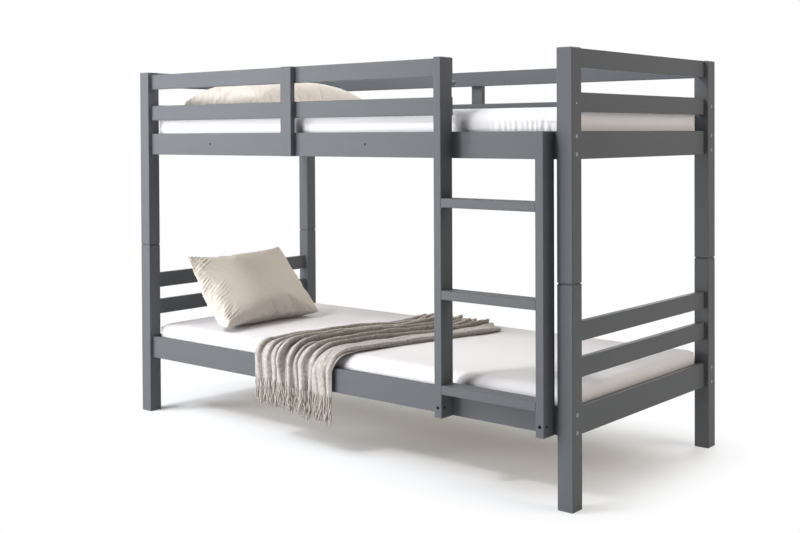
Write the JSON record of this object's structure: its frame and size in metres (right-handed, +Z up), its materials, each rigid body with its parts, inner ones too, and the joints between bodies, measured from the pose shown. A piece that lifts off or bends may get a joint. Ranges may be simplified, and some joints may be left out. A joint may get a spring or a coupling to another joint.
{
  "type": "bunk bed",
  "caption": "Painted wooden single-over-single bunk bed with guard rails, a bolted front ladder, slatted bases, mattresses, pillows and a throw.",
  "frame": {"origin": "on the floor, in the middle of the bed's length and midway from the ladder's front to the back batten", "axes": "+X along the length towards the ladder end, +Y from the ladder to the back, +Z up"},
  "size_m": [2.08, 1.031, 1.4],
  "materials": {
    "grey_paint": "satin grey paint on pine",
    "bare_pine": "planed, unpainted",
    "webbing": "woven tape",
    "zinc_steel": "zinc plated",
    "beech": "fluted dowel",
    "grey_plastic": "moulded",
    "sheet_cotton": "smooth jersey cotton",
    "pillow_cotton": "plain woven cotton",
    "throw_weave": "loose woven wool blend"
  },
  "bodies": {
    "frame": {"lower_post_front_left": "grey_paint", "lower_post_front_right": "grey_paint", "lower_post_back_left": "grey_paint", "lower_post_back_right": "grey_paint", "upper_post_front_left": "grey_paint", "upper_post_front_right": "grey_paint", "upper_post_back_left": "grey_paint", "upper_post_back_right": "grey_paint", "lower_side_rail_front": "grey_paint", "lower_side_rail_back": "grey_paint", "upper_side_rail_front": "grey_paint", "upper_side_rail_back": "grey_paint", "lower_left_end_board": "grey_paint", "lower_left_end_rail_low": "grey_paint", "lower_left_end_rail_top": "grey_paint", "lower_right_end_board": "grey_paint", "lower_right_end_rail_low": "grey_paint", "lower_right_end_rail_top": "grey_paint", "upper_left_end_board": "grey_paint", "upper_left_end_rail_mid": "grey_paint", "upper_left_end_rail_top": "grey_paint", "upper_right_end_board": "grey_paint", "upper_right_end_rail_mid": "grey_paint", "upper_right_end_rail_top": "grey_paint", "guard_rail_front_mid": "grey_paint", "guard_rail_front_top": "grey_paint", "guard_rail_back_mid": "grey_paint", "guard_rail_back_top": "grey_paint", "guard_batten_front": "grey_paint", "guard_batten_back": "grey_paint", "ladder_stile_left": "grey_paint", "ladder_stile_right": "grey_paint", "ladder_rung_low": "grey_paint", "ladder_rung_mid": "grey_paint", "ladder_rung_top": "grey_paint", "lower_cleat_front": "grey_paint", "lower_cleat_back": "grey_paint", "upper_cleat_front": "grey_paint", "upper_cleat_back": "grey_paint", "lower_slats": "bare_pine", "upper_slats": "bare_pine", "lower_slat_tapes": "webbing", "upper_slat_tapes": "webbing", "post_pins": "zinc_steel", "frame_bolts": "zinc_steel", "barrel_nuts": "zinc_steel", "bolt_hole_plug": "grey_plastic", "rail_dowels": "beech", "rung_dowels": "beech", "guard_screws": "zinc_steel", "base_screws": "zinc_steel", "ladder_bolts": "zinc_steel", "ladder_nuts": "zinc_steel"},
    "lower_mattress": {"lower_mattress": "sheet_cotton"},
    "upper_mattress": {"upper_mattress": "sheet_cotton"},
    "lower_pillow": {"lower_pillow": "pillow_cotton"},
    "upper_pillow": {"upper_pillow": "pillow_cotton"},
    "throw": {"throw_cloth": "throw_weave", "throw_fringe": "throw_weave"}
  },
  "joints": [
    {"name": "lower_mattress_lift", "type": "slide", "parent": "frame", "child": "lower_mattress", "axis": [0, 0, 1], "range_m": [0, 0.15]},
    {"name": "upper_mattress_lift", "type": "slide", "parent": "frame", "child": "upper_mattress", "axis": [0, 0, 1], "range_m": [0, 0.3]},
    {"name": "lower_pillow_lift", "type": "slide", "parent": "lower_mattress", "child": "lower_pillow", "axis": [0, 0, 1], "range_m": [0, 0.25]},
    {"name": "upper_pillow_lift", "type": "slide", "parent": "upper_mattress", "child": "upper_pillow", "axis": [0, 0, 1], "range_m": [0, 0.3]},
    {"name": "throw_lift", "type": "slide", "parent": "lower_mattress", "child": "throw", "axis": [0, 0, 1], "range_m": [0, 0.3]}
  ]
}
